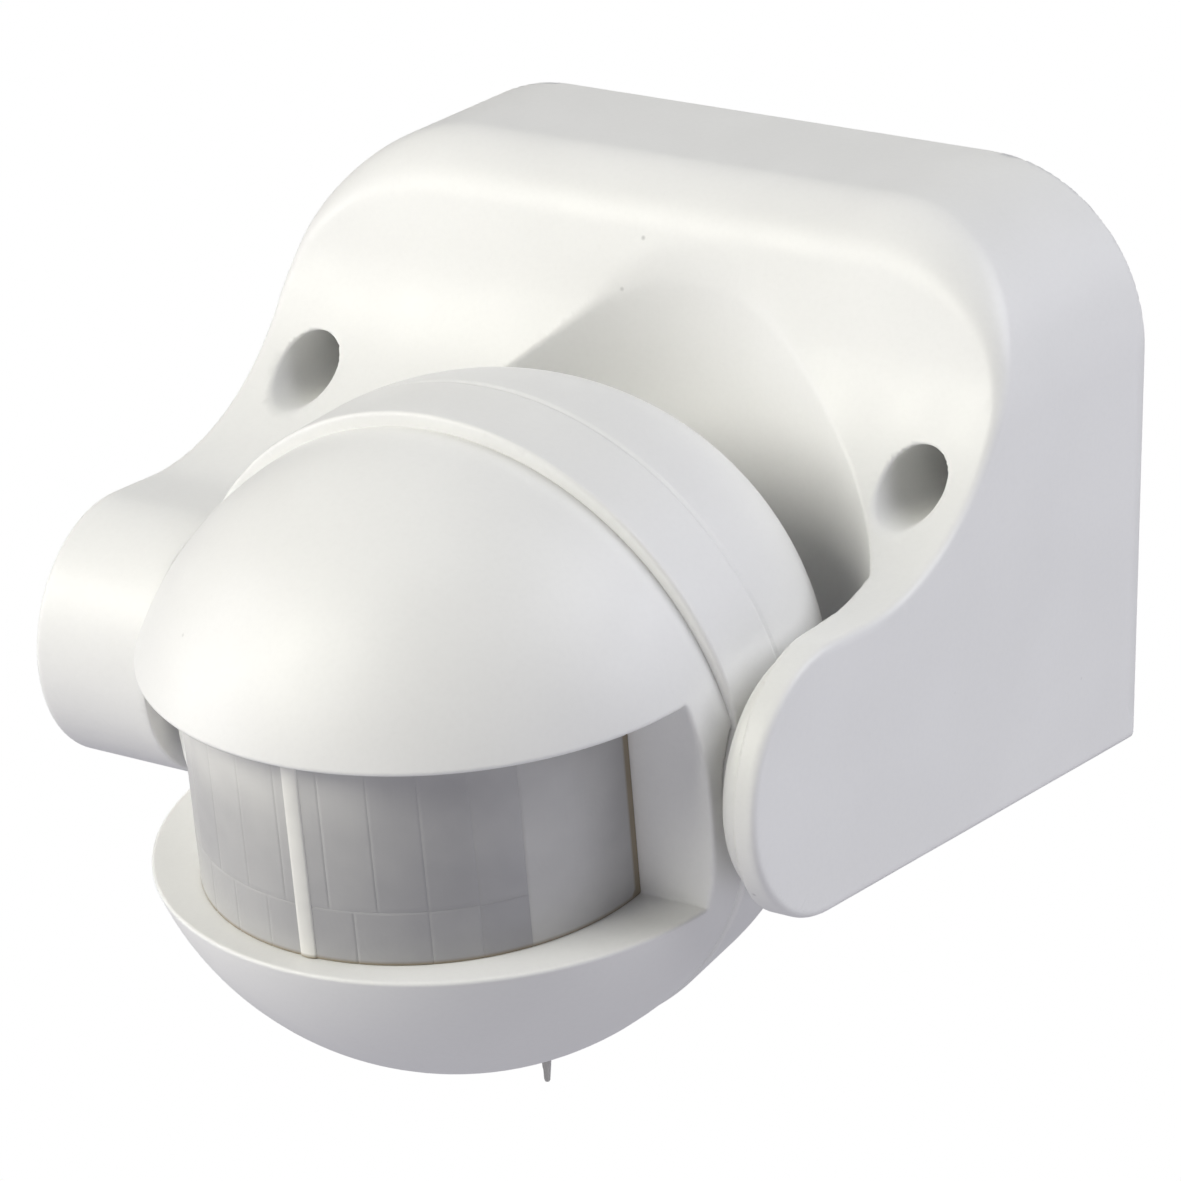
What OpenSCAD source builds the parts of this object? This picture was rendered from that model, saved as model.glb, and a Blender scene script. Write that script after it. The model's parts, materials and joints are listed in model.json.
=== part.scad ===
// Wall-mounted passive infrared motion sensor: a hood with two arms that carry a tilting ball head.
// Millimetres. Origin at the centre of the wall face; +Y goes into the wall, -Y is the front, +Z is up.

/* [Hood] */
// Width of the hood across its sides, at the wall
hood_w = 80; // [78:1:84]
// Height of the hood at the wall
hood_h = 54.5; // [54:0.5:57]
// Wall thickness of the mouldings
wall = 2.2; // [1.8:0.1:2.4]
// Radius of the two top corners, seen from the front
corner_r = 16.6; // [12:0.2:18]
// Radius between the top face and the sloping front face
brow_r = 7.5; // [6:0.5:9]
// Angle of the sloping front face above the horizontal
face_angle = 74; // [72:1:76]
// Slope of the top face, down towards the front
top_slope = 2.1; // [0:0.1:3]
// Lean of each side face towards the middle
side_draft = 1.03; // [0:0.01:1.2]
// Radius of the hollow curve between the arms and the sloping face
sweep_r = 24.3; // [23.9:0.1:24.8]

/* [Pivot] */
// Distance from the wall to the pivot axis
pivot_out = 53.2; // [52.8:0.1:54]
// Height of the pivot axis above the bottom of the hood
pivot_up = 12.4; // [12.2:0.1:12.6]
// Rest tilt of the head below the horizontal
rest_tilt = 8; // [0:1:12]
// Radius of the hollow pivot tube on the left
tube_r = 4.2; // [4.0:0.05:4.3]
// Radius of the pivot pin on the right
pin_r = 4; // [3.6:0.1:4.1]
// Radial running clearance of the pivots
run_gap = 0.05; // [0.03:0.01:0.09]

/* [Pocket] */
// Radius of the pocket that the head turns in
pocket_r = 32; // [31.9:0.1:32.2]
// Sideways place of the pocket's axis
pocket_x = 5.8; // [5.7:0.1:6]
// Forward lean of the pocket's axis
pocket_lean = 3.6; // [0:0.1:4]
// Sideways place of the right arm's flat inner face
right_arm_x = 36.7; // [36.4:0.1:36.9]

/* [Head] */
// Sideways place of the head's centre
head_x = 4; // [3.9:0.05:4.1]
// Radius of the front dome
dome_r = 29.5; // [29.3:0.1:29.6]
// Distance of the dome's centre in front of the pivot axis
dome_k = 6.6; // [6.4:0.1:6.8]
// Drop of the dome's centre below the head's axis
dome_drop = 0.65; // [0.4:0.05:0.7]
// Radius of the rear shell at its front lip
lip_r = 30.2; // [30.1:0.1:30.4]
// Distance of the front lip ahead of the pivot axis
lip_k = 5.3; // [5.2:0.1:5.4]
// Radius of the rear shell's round back, which is centred on the pivot axis
ball_r = 30; // [29.8:0.1:30.1]
// Distance of the waist line behind the pivot axis
waist_k = 2.8; // [2.6:0.1:3]
// Distance of the flat back behind the pivot axis
flat_back_k = 25; // [24.6:0.1:25.2]
// Half width between the head's flat sides
side_flat = 29.2; // [29.1:0.05:29.2]

/* [Window] */
// Height of the brim above the head's axis
brim_h = 9.9; // [9.5:0.1:10.1]
// Drop of the lower lip below the head's axis
sill_h = 9.5; // [9.2:0.1:9.7]
// Distance of the window's end walls ahead of the pivot axis
jamb_k = 10; // [9.6:0.1:10.4]
// Outside radius of the curved lens
lens_r = 21; // [20.8:0.1:21.2]
// Distance of the lens's axis ahead of the pivot axis
lens_k = 11; // [10.6:0.1:11.2]
// Thickness of the lens
lens_t = 0.8; // [0.6:0.1:0.9]

/* [Adjusters] */
// Spacing of the three adjuster knobs
knob_gap = 8.5; // [8.4:0.1:8.7]
// Distance of the knobs ahead of the pivot axis
knob_k = 9; // [8.6:0.1:9.4]
// Radius of a knob's disc
knob_r = 3.4; // [3.2:0.1:3.5]
// Height of a knob's grip fin
fin_h = 3.1; // [2.6:0.1:3.6]

/* [Fixings] */
// Distance between the two fixing screws of the hood
fix_w = 66.4; // [66:0.2:66.6]
// Height of the fixing screws above the bottom of the hood
fix_up = 31.7; // [31.1:0.2:32.3]
// Radius of the counterbores over the fixing screws
counterbore_r = 3.2; // [3.1:0.1:3.4]
// Distance between the two wall screws
wall_screw_w = 46; // [44:1:48]
// Width of the wall screw slots
slot_w = 4.5; // [4:0.1:5]
// Length of the wall screw slots, end to end
slot_l = 10; // [8:0.5:11]
// Radius of the cable hole through the grommet
cable_r = 4; // [3.5:0.1:4.2]

/* [Hidden] */

$fn = 96;
cut = 0.01;
arm_r = pivot_up;
arm_top = pivot_up + arm_r;
sweep_k = 47.7;
flat_x_left = head_x - side_flat;
flat_x_right = head_x + side_flat;
pocket_left = pocket_x - pocket_r;
boss_r = 11.3;
washer_r = 8;
boss_face_x = flat_x_right + 1.3;
plate_t = 2.2;
plate_gap = 0.3;
seal_t = 1.5;
ledge_t = 1.5;
counterbore_floor = 11;
post_top = 8.5;
block_up = 9;
block_y = [-13.2, -plate_t];
pole_gap = 9;
pole_x = [-pole_gap, 0, pole_gap];
clamp_screw_up = [2.8, 8.2];
ear_x = pole_gap + 7.2;
ear_t = 5.2;
core_r = 0.7;
lead_r = 1.8;
junction_x = -30.3;
turn_r = 3.4;
lead_end = [-34.7, -15.8, pivot_up];
head_wall = 2.2;
flange_r = 6.6;
flange_t = 1.5;
spigot_r = 27.4;
inner_r = 26.9;
shell_screw_at = [[0, 20], [-16.4, -16.4], [16.4, -16.4]];
main_board_k = [-5.6, -4];
sensor_board_k = [3, 4.6];
control_board_h = [-13.6, -12.2];
slab = 1.6;
pot_h = 5;
white = [0.94, 0.94, 0.92];
board_green = [0.1, 0.38, 0.2];
steel = [0.72, 0.72, 0.74];

// Points of an arc of radius r about c, from angle a0 to a1
function arc(c, r, a0, a1, n = 14) =
    [for (i = [0:n]) let (a = a0 + (a1 - a0) * i / n) c + r * [cos(a), sin(a)]];

// Centre of the brow's fillet, which touches the sloping face and the top face
sweep_c = [-sweep_k, arm_top + sweep_r];
face_point = sweep_c + sweep_r * [cos(270 + face_angle), sin(270 + face_angle)];
face_in = [sin(face_angle), -cos(face_angle)];
top_in = [sin(top_slope), -cos(top_slope)];
q_face = face_point * face_in + brow_r;
q_top = [0, hood_h] * top_in + brow_r;
brow_c = [q_face * cos(top_slope) - q_top * cos(face_angle), q_face * sin(top_slope) - q_top * sin(face_angle)]
    / sin(face_angle - top_slope);

// Side outline of the hood, as [distance along Y, height], drawn in by d
function side_outline(d, back) = concat(
    [[back, d]],
    arc([-pivot_out, pivot_up], arm_r - d, -90, -270, 24),
    arc(sweep_c, sweep_r + d, 270, 270 + face_angle),
    arc(brow_c, brow_r - d, 90 + face_angle, 90 + top_slope),
    [[back, hood_h - d + back * tan(top_slope)]]
);

// Front outline of the hood, as [across, height], drawn in by d
function front_outline(d) = concat(
    [[-hood_w / 2 + d, d], [hood_w / 2 - d, d]],
    arc([hood_w / 2 - corner_r, hood_h - corner_r], corner_r - d, 0, 90),
    arc([-hood_w / 2 + corner_r, hood_h - corner_r], corner_r - d, 90, 180)
);

// A point on a cubic curve, and a tube of radius r that follows a list of points
function bezier(p, t) =
    pow(1 - t, 3) * p[0] + 3 * t * pow(1 - t, 2) * p[1] + 3 * t * t * (1 - t) * p[2] + pow(t, 3) * p[3];
function unit(v) = v / norm(v);

module tube_along(path, r, sides = 10) {
    last = len(path) - 1;
    aim = [1, 1, 0.3];
    ring = [for (i = [0:last])
        let (t = unit(path[min(i + 1, last)] - path[max(i - 1, 0)]), u = unit(cross(t, aim)), v = cross(t, u))
        for (s = [0:sides - 1]) path[i] + r * (u * cos(360 * s / sides) + v * sin(360 * s / sides))];
    walls = [for (i = [0:last - 1], s = [0:sides - 1])
        [i * sides + s, (i + 1) * sides + s, (i + 1) * sides + (s + 1) % sides, i * sides + (s + 1) % sides]];
    start_cap = [for (s = [0:sides - 1]) s];
    end_cap = [for (s = [sides - 1:-1:0]) last * sides + s];
    polyhedron(ring, concat([start_cap, end_cap], walls));
}

// Places what is drawn with z = 0 at the bottom of the hood
module from_bottom() {
    translate([0, 0, -hood_h / 2]) children();
}

// Places what is drawn about the head's centre, with -Y along the head's own axis
module in_head() {
    from_bottom() translate([head_x, -pivot_out, pivot_up]) rotate([rest_tilt, 0, 0]) children();
}

// A cylinder along Y, from the larger to the smaller distance in front of its frame's origin
module along_y(r, k0, k1, x = 0, z = 0) {
    translate([x, -k0, z]) rotate([90, 0, 0]) cylinder(r = r, h = k1 - k0);
}

// A cylinder along X from x0 to x1
module along_x(r, x0, x1, facets = $fn) {
    translate([x0, 0, 0]) rotate([0, 90, 0]) cylinder(r = r, h = x1 - x0, $fn = facets);
}

// A ring about X
module ring_x(r, hole_r, x0, x1) {
    difference() {
        along_x(r, x0, x1);
        along_x(hole_r, x0 - 1, x1 + 1);
    }
}

// A box between two distances ahead of the head's centre
module k_box(x, k, z) {
    translate([x[0], -k[1], z[0]]) cube([x[1] - x[0], k[1] - k[0], z[1] - z[0]]);
}

// ---------- hood and wall side ----------

module hood_block(d, back) {
    lean = tan(side_draft);
    reach = pivot_out + arm_r + 1;
    intersection() {
        translate([0, back, 0]) rotate([90, 0, 0]) linear_extrude(reach + back) polygon(front_outline(d));
        translate([-hood_w / 2, 0, 0]) rotate([90, 0, 90]) linear_extrude(hood_w) polygon(side_outline(d, back));
        linear_extrude(hood_h) polygon([
            [-hood_w / 2 + d, back], [hood_w / 2 - d, back],
            [hood_w / 2 - d - reach * lean, -reach], [-hood_w / 2 + d + reach * lean, -reach]
        ]);
    }
}

module pocket(grow) {
    low = 20;
    intersection() {
        translate([pocket_left - grow, -100, -1])
            cube([right_arm_x - pocket_left + 2 * grow, 100, hood_h + 2]);
        union() {
            translate([pocket_x, -pivot_out, pivot_up]) rotate([pocket_lean, 0, 0]) translate([0, 0, -low])
                cylinder(r = pocket_r + grow, h = hood_h + low, $fn = 160);
            translate([pocket_left - grow, -100, -1]) cube([2 * (pocket_r + grow), 100 - pivot_out, hood_h + 2]);
        }
    }
}

module at_fixings() {
    for (side = [-1, 1]) translate([side * fix_w / 2, 0, fix_up]) children();
}

// A flat ring that follows the hood's front outline
module outline_ring(d_out, d_in, k0, k1) {
    translate([0, -k0, 0]) rotate([90, 0, 0]) linear_extrude(k1 - k0) difference() {
        polygon(front_outline(d_out));
        polygon(front_outline(d_in));
    }
}

module hood_cavity() {
    difference() {
        hood_block(wall, 1);
        pocket(wall);
        at_fixings() along_y(counterbore_r + 1.9, post_top + 0.1, 60);
        difference() {
            outline_ring(wall - 0.2, wall + 2, plate_t + seal_t, plate_t + seal_t + ledge_t);
            at_fixings() along_y(4.6, 0, 10);
        }
    }
}

module hood() {
    color(white) from_bottom() {
        difference() {
            union() {
                difference() {
                    hood_block(0, 0);
                    hood_cavity();
                    pocket(0);
                }
                translate([0, -pivot_out, pivot_up]) along_x(boss_r, boss_face_x, right_arm_x + 0.6);
            }
            at_fixings() along_y(counterbore_r, counterbore_floor, 60);
            at_fixings() along_y(1.9, post_top - 1, counterbore_floor + 1);
            translate([0, -pivot_out, pivot_up]) {
                along_x(tube_r + run_gap, pocket_left - wall - 1, pocket_left + 1);
                along_x(washer_r + 0.4, pocket_left, pocket_left + 3);
                along_x(pin_r + run_gap, boss_face_x - 1, boss_face_x + 3.4);
            }
        }
    }
}

module wall_plate() {
    color([0.88, 0.88, 0.86]) from_bottom() difference() {
        union() {
            rotate([90, 0, 0]) linear_extrude(plate_t) polygon(front_outline(wall + plate_gap));
            at_fixings() along_y(3.6, 0, post_top);
        }
        at_fixings() along_y(1.4, 1, 20);
        for (side = [-1, 1]) translate([side * wall_screw_w / 2, 0, hood_h / 2]) rotate([90, 0, 0])
            translate([0, 0, -1]) linear_extrude(plate_t + 2) {
                square([slot_l - slot_w, slot_w], center = true);
                for (end = [-1, 1]) translate([end * (slot_l - slot_w) / 2, 0]) circle(d = slot_w);
            }
        along_y(6, -1, plate_t + 1, 0, 38);
        at_block_screws() along_y(1.45, -1, plate_t + 1);
    }
}

module perimeter_seal() {
    color([0.16, 0.16, 0.17]) from_bottom() difference() {
        outline_ring(wall + plate_gap, wall + 2, plate_t, plate_t + seal_t);
        at_fixings() along_y(3.75, 0, 10);
    }
}

module cable_grommet() {
    color([0.2, 0.2, 0.21]) from_bottom() difference() {
        union() {
            along_y(6, 0.2, plate_t, 0, 38);
            along_y(8, plate_t, plate_t + 1.6, 0, 38);
        }
        along_y(cable_r, -1, 10, 0, 38);
    }
}

module pan_head_screw(head_r, head_h, shank_r, length) {
    recess = head_h * 0.6;
    difference() {
        union() {
            cylinder(r = head_r, h = head_h);
            translate([0, 0, -length]) cylinder(r = shank_r, h = length);
        }
        for (turn = [0, 90]) rotate([0, 0, turn]) translate([-head_r * 0.6, -head_r * 0.14, head_h - recess])
            cube([head_r * 1.2, head_r * 0.28, recess + 1]);
    }
}

module fixing_screws() {
    color(steel) from_bottom() at_fixings() translate([0, -counterbore_floor, 0]) rotate([90, 0, 0])
        pan_head_screw(2.8, 2, 1.36, counterbore_floor - 1.5);
}

module at_block_screws() {
    for (side = [-1, 1]) translate([side * ear_x, 0, block_up + 5.5]) children();
}

module terminal_block() {
    half = ear_x + 3;
    deep = block_y[1] - block_y[0];
    color([0.9, 0.9, 0.86]) from_bottom() difference() {
        union() {
            for (x = pole_x) translate([x - 3.9, block_y[0], block_up]) cube([7.8, deep, 11]);
            translate([-half, block_y[1] - ear_t, block_up + 1.5]) cube([2 * half, ear_t, 8]);
        }
        for (x = pole_x) {
            translate([x, block_y[1] - 6, block_up - 1]) cylinder(r = 2.25, h = 13);
            for (z = clamp_screw_up) along_y(1.7, 8, 20, x, block_up + z);
        }
        at_block_screws() along_y(1.45, 1, 20);
    }
}

module terminal_clamps() {
    color([0.8, 0.66, 0.32]) from_bottom() for (x = pole_x) difference() {
        translate([x, block_y[1] - 6, block_up + 0.4]) cylinder(r = 2.2, h = 10.2);
        translate([x, block_y[1] - 6, block_up - 1]) cylinder(r = 1.3, h = 13);
        for (z = clamp_screw_up) along_y(1.15, 8, 20, x, block_up + z);
    }
}

module terminal_screws() {
    color(steel) from_bottom() for (x = pole_x, z = clamp_screw_up) difference() {
        union() {
            along_y(1.6, 10.5, 12, x, block_up + z);
            along_y(1.1, 9.2, 10.6, x, block_up + z);
        }
        translate([x - 2, -13, block_up + z - 0.3]) cube([4, 1.6, 0.6]);
    }
}

module block_screws() {
    color(steel) from_bottom() at_block_screws() translate([0, block_y[1] - ear_t, 0]) rotate([90, 0, 0])
        pan_head_screw(2.5, 1.7, 1.4, ear_t + 1.6);
}

// The lead leaves the hollow pivot, turns back along the left arm and ends behind the arm
module supply_lead() {
    run_x = lead_end[0];
    color([0.2, 0.2, 0.2]) from_bottom() translate([0, -pivot_out, pivot_up]) {
        along_x(lead_r, run_x + turn_r, junction_x, 48);
        translate([run_x + turn_r, turn_r, 0]) rotate([0, 0, 180]) rotate_extrude(angle = 90, $fn = 96)
            translate([turn_r, 0]) circle(r = lead_r, $fn = 48);
        translate([run_x, turn_r, 0]) rotate([-90, 0, 0])
            cylinder(r = lead_r, h = pivot_out + lead_end[1] - turn_r, $fn = 48);
    }
}

// One core: out of the lead's end, past a bend, along a level lane of its own, then up into its clamp
module core(x, start, lane, bend, tint) {
    begin = [lead_end[0] + start[0], lead_end[1], lead_end[2] + start[1]];
    y = block_y[1] - 6;
    n = 12;
    out = [begin, begin + [0, 6.8, 0], [bend[0], -7.5, lane + bend[1]], [-20, y, lane]];
    up = [[x - 4, y, lane], [x - 1, y, lane], [x, y, lane + 1], [x, y, block_up + 2]];
    color(tint) from_bottom() tube_along(
        concat([for (i = [0:n]) bezier(out, i / n)], [for (i = [0:n]) bezier(up, i / n)]), core_r);
}

module live_core() {
    core(pole_x[0], [0, 0.95], 7.4, [-31, 1.5], [0.42, 0.24, 0.12]);
}

module neutral_core() {
    core(pole_x[1], [0.85, -0.5], 5.3, [-31, 0], [0.1, 0.25, 0.6]);
}

module load_core() {
    core(pole_x[2], [-0.85, -0.5], 3.2, [-33, 0], [0.7, 0.1, 0.1]);
}

module friction_washer() {
    color([0.18, 0.18, 0.18]) from_bottom() translate([0, -pivot_out, pivot_up])
        ring_x(washer_r, tube_r + run_gap, pocket_left, flat_x_left - 0.3);
}

// ---------- head shells ----------

// Outline of the rear shell as [radius, distance ahead], for a turned solid
function rear_outline(r_lip, r_ball, back) =
    let (start = acos(waist_k / r_ball), end = acos(back / r_ball))
    concat([[0, lip_k], [r_lip, lip_k]],
        [for (i = [0:18]) let (a = start + (end - start) * i / 18) r_ball * [sin(a), -cos(a)]],
        [[0, -back]]);

module turned(points) {
    rotate([90, 0, 0]) rotate_extrude($fn = 144) polygon(points);
}

module head_hollow() {
    turned(rear_outline(inner_r - 0.2, ball_r - head_wall, flat_back_k - head_wall));
}

module at_shell_screws() {
    for (at = shell_screw_at) translate([at[0], 0, at[1]]) children();
}

module board_pillars() {
    for (side = [-1, 1]) along_y(2.3, -22, main_board_k[0], side * 12.5, -12.5);
}

module pivot_ears() {
    for (side = [-1, 1]) along_x(8, side < 0 ? -side_flat : side_flat - head_wall,
        side < 0 ? -side_flat + head_wall : side_flat);
}

module head_rear_shell() {
    color(white) in_head() difference() {
        intersection() {
            union() {
                difference() {
                    turned(rear_outline(lip_r, ball_r, flat_back_k));
                    difference() {
                        head_hollow();
                        at_shell_screws() along_y(3.3, -30, 1);
                        board_pillars();
                    }
                    along_y(spigot_r + 0.2, 0.8, lip_k + 1);
                }
                pivot_ears();
            }
            translate([-side_flat, -30, -40]) cube([2 * side_flat, 70, 80]);
        }
        at_shell_screws() along_y(2.4, -30, -3.6);
        at_shell_screws() along_y(1.3, -5, 3);
        for (side = [-1, 1]) along_y(0.9, -14, -5, side * 12.5, -12.5);
        along_x(tube_r + run_gap, -side_flat - 1, -20);
        along_x(pin_r + run_gap, 20, side_flat + 1);
        along_x(flange_r + 0.2, -side_flat + head_wall, -18);
        along_x(flange_r + 0.2, 18, side_flat - head_wall);
    }
}

// The window's opening in the front shell, grown on every side
module window_box(grow) {
    k_box([-40, 40], [jamb_k - grow, 50], [-sill_h - grow, brim_h + grow]);
}

// Height of the floor of each knob's recess: the outer two sit higher, because the shell curves up
function knob_top(i) = i == 0 ? -27.3 : -26.2;

module at_knobs() {
    for (i = [-1:1]) translate([i * knob_gap, -knob_k, knob_top(i)]) children();
}

module dome_hollow() {
    difference() {
        translate([0, -dome_k, 0]) sphere(r = inner_r, $fn = 128);
        difference() {
            window_box(slab);
            translate([0, -lens_k, -20]) cylinder(r = lens_r - lens_t - 1, h = 40);
        }
        at_shell_screws() along_y(2.8, 0, 30);
        at_knobs() translate([0, 0, -3]) cylinder(r = knob_r + 1.3, h = 4.2);
    }
}

module head_front_shell() {
    color(white) in_head() difference() {
        union() {
            intersection() {
                translate([0, -dome_k, -dome_drop]) sphere(r = dome_r, $fn = 160);
                k_box([-side_flat, side_flat], [lip_k, 60], [-40, 40]);
            }
            along_y(spigot_r, 1.4, lip_k + 1);
        }
        dome_hollow();
        difference() {
            along_y(26, 0, lip_k + 0.5);
            at_shell_screws() along_y(2.8, -1, 10);
        }
        window_box(0);
        at_shell_screws() along_y(1.05, 0, 12);
        for (side = [-1, 1]) along_x(8.2, side < 0 ? -40 : 24, side < 0 ? -24 : 40);
        at_knobs() translate([0, 0, -8]) cylinder(r = knob_r + 0.35, h = 8);
        at_knobs() cylinder(r = 1.6, h = 6);
    }
}

module head_seal() {
    color([0.16, 0.16, 0.17]) in_head() difference() {
        along_y(27.5, 0.8, 1.4);
        along_y(26.75, 0, 2);
        at_shell_screws() along_y(3.4, 0, 2);
        for (side = [-1, 1]) along_x(8.5, side < 0 ? -40 : 18, side < 0 ? -18 : 40);
    }
}

module shell_screws() {
    color(steel) in_head() at_shell_screws() translate([0, 3.6, 0]) rotate([-90, 0, 0])
        pan_head_screw(2.2, 1.8, 1.04, 12);
}

module fresnel_lens() {
    color([0.82, 0.83, 0.84, 0.85]) in_head() intersection() {
        translate([0, -lens_k, -sill_h + 0.05]) difference() {
            cylinder(r = lens_r, h = sill_h + brim_h - 0.1, $fn = 160);
            translate([0, 0, -1]) cylinder(r = lens_r - lens_t, h = 40, $fn = 160);
        }
        k_box([-30, 30], [jamb_k + 0.05, 60], [-20, 20]);
    }
}

module lens_retainer() {
    bar = 1.6;
    color([0.85, 0.85, 0.84]) in_head() intersection() {
        translate([0, -lens_k, 0]) difference() {
            translate([0, 0, -sill_h + 0.1]) cylinder(r = lens_r - lens_t - 0.1, h = sill_h + brim_h - 0.2);
            translate([0, 0, -20]) cylinder(r = lens_r - lens_t - 0.9, h = 40);
            difference() {
                translate([0, 0, -sill_h + bar]) cylinder(r = 40, h = sill_h + brim_h - 2 * bar);
                translate([-40, -jamb_k + lens_k - 3, -20]) cube([80, 3, 40]);
            }
        }
        k_box([-30, 30], [jamb_k + 0.2, 60], [-20, 20]);
    }
}

// ---------- pivots ----------

module pivot_tube() {
    inner_face = -side_flat + head_wall;
    color([0.86, 0.86, 0.85]) in_head() difference() {
        union() {
            along_x(tube_r, -36, inner_face);
            along_x(flange_r, inner_face, inner_face + flange_t);
        }
        along_x(2.8, -40, -10);
    }
}

module spring_washer() {
    color(steel) in_head() ring_x(6.6, tube_r + 0.1, -33.5, -33.1);
}

module pivot_nut() {
    color([0.3, 0.3, 0.3]) in_head() difference() {
        along_x(7.4, -35.8, -33.6, 6);
        along_x(tube_r + 0.02, -40, -30);
    }
}

module pivot_pin() {
    inner_face = side_flat - head_wall;
    color([0.86, 0.86, 0.85]) in_head() union() {
        along_x(pin_r, inner_face, side_flat + 4.4);
        along_x(flange_r, inner_face - flange_t, inner_face);
    }
}

module thrust_washer() {
    color([0.86, 0.84, 0.76]) in_head() ring_x(7.5, pin_r + 0.1, side_flat, side_flat + 0.9);
}

module head_lead() {
    color([0.2, 0.2, 0.2]) in_head() {
        along_x(lead_r, junction_x - head_x + 0.1, -17, 48);
        for (z = [-2.4, 0, 2.4]) tube_along([for (i = [0:8]) bezier(
            [[-17.4, 0, z * 0.35], [-15, 0, z * 0.6], [-13, 0.8, z], [-13, -main_board_k[1], z]], i / 8)], core_r, 8);
    }
}

// ---------- electronics in the head ----------

module main_board() {
    color(board_green) in_head() difference() {
        along_y(20, main_board_k[0], main_board_k[1]);
        at_shell_screws() along_y(3.6, -10, 0);
        for (side = [-1, 1]) along_y(1.1, -10, 0, side * 12.5, -12.5);
    }
}

module board_screws() {
    color(steel) in_head() for (side = [-1, 1]) translate([side * 12.5, -main_board_k[1], -12.5])
        rotate([90, 0, 0]) pan_head_screw(2, 1.3, 0.88, 8);
}

module relay() {
    color([0.12, 0.3, 0.62]) in_head() k_box([-10, 9], [main_board_k[0] - 15, main_board_k[0]], [-7.6, 7.9]);
}

module film_capacitor() {
    color([0.75, 0.2, 0.12]) in_head() k_box([-8.6, 8.6], [main_board_k[0] - 10, main_board_k[0]], [9, 15]);
}

module electrolytic_capacitors() {
    color([0.12, 0.12, 0.14]) in_head() for (z = [-4.6, 4.6])
        along_y(4, main_board_k[0] - 11.5, main_board_k[0], 13.8, z);
}

module varistor() {
    color([0.2, 0.32, 0.6]) in_head() translate([-16.6, -main_board_k[0] + 3.6, 0]) rotate([0, 90, 0])
        cylinder(r = 3.6, h = 4);
}

module sensor_board() {
    color(board_green) in_head() k_box([-15, 15], sensor_board_k, [control_board_h[1], 10]);
}

module board_header() {
    color([0.1, 0.1, 0.1]) in_head() k_box([-6.4, 6.4], [main_board_k[1], sensor_board_k[0]], [-9.3, -6.8]);
}

module pyro_sensor() {
    can_k = sensor_board_k[1];
    color([0.78, 0.77, 0.72]) in_head() difference() {
        union() {
            along_y(4.6, can_k, can_k + 0.5);
            along_y(4.1, can_k + 0.5, can_k + 4.2);
        }
        k_box([-2, 2], [can_k + 3.8, can_k + 6], [-1.5, 1.5]);
    }
}

module light_sensor() {
    color([0.75, 0.45, 0.25]) in_head() along_y(2.5, sensor_board_k[1], sensor_board_k[1] + 2, 10.5, 4);
}

module indicator_led() {
    color([0.85, 0.15, 0.12]) in_head() {
        along_y(1.5, sensor_board_k[1], sensor_board_k[1] + 3, -10.5, 4);
        translate([-10.5, -sensor_board_k[1] - 3, 4]) sphere(r = 1.49, $fn = 48);
    }
}

module control_board() {
    color(board_green) in_head() k_box([-13.2, 13.2], [sensor_board_k[0], 15], control_board_h);
}

module potentiometers() {
    color([0.2, 0.35, 0.55]) in_head() for (i = [-1:1])
        translate([i * knob_gap, -knob_k, control_board_h[0] - pot_h]) difference() {
            cylinder(r = 3.4, h = pot_h);
            translate([0, 0, -1]) cylinder(r = 1.5 + run_gap, h = 5);
        }
}

// An adjuster: a disc with a grip fin below and a stem that turns the potentiometer
module knob(i, fin_turn) {
    stem = knob_top(i) - control_board_h[0] + pot_h;
    color([0.78, 0.78, 0.76]) in_head() translate([i * knob_gap, -knob_k, knob_top(i)]) rotate([0, 0, fin_turn]) {
        translate([0, 0, -1.5]) cylinder(r = knob_r, h = 1.3);
        translate([0, 0, -1.5]) cylinder(r = 1.5, h = 1.5 - stem + 3);
        translate([-2.6, -0.4, -1.5 - fin_h]) cube([5.2, 0.8, fin_h + 0.2]);
    }
}

module range_knob() {
    knob(-1, 20);
}

module time_knob() {
    knob(0, -35);
}

module light_knob() {
    knob(1, -58);
}

hood();
wall_plate();
perimeter_seal();
cable_grommet();
fixing_screws();
terminal_block();
terminal_clamps();
terminal_screws();
block_screws();
supply_lead();
live_core();
neutral_core();
load_core();
friction_washer();
head_rear_shell();
head_front_shell();
head_seal();
shell_screws();
fresnel_lens();
lens_retainer();
pivot_tube();
spring_washer();
pivot_nut();
pivot_pin();
thrust_washer();
head_lead();
main_board();
board_screws();
relay();
film_capacitor();
electrolytic_capacitors();
varistor();
sensor_board();
board_header();
pyro_sensor();
light_sensor();
indicator_led();
control_board();
potentiometers();
range_knob();
time_knob();
light_knob();
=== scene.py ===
import json
import math

import bmesh
import bpy
import numpy as np
import openvdb
from mathutils import Matrix, Vector


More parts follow.
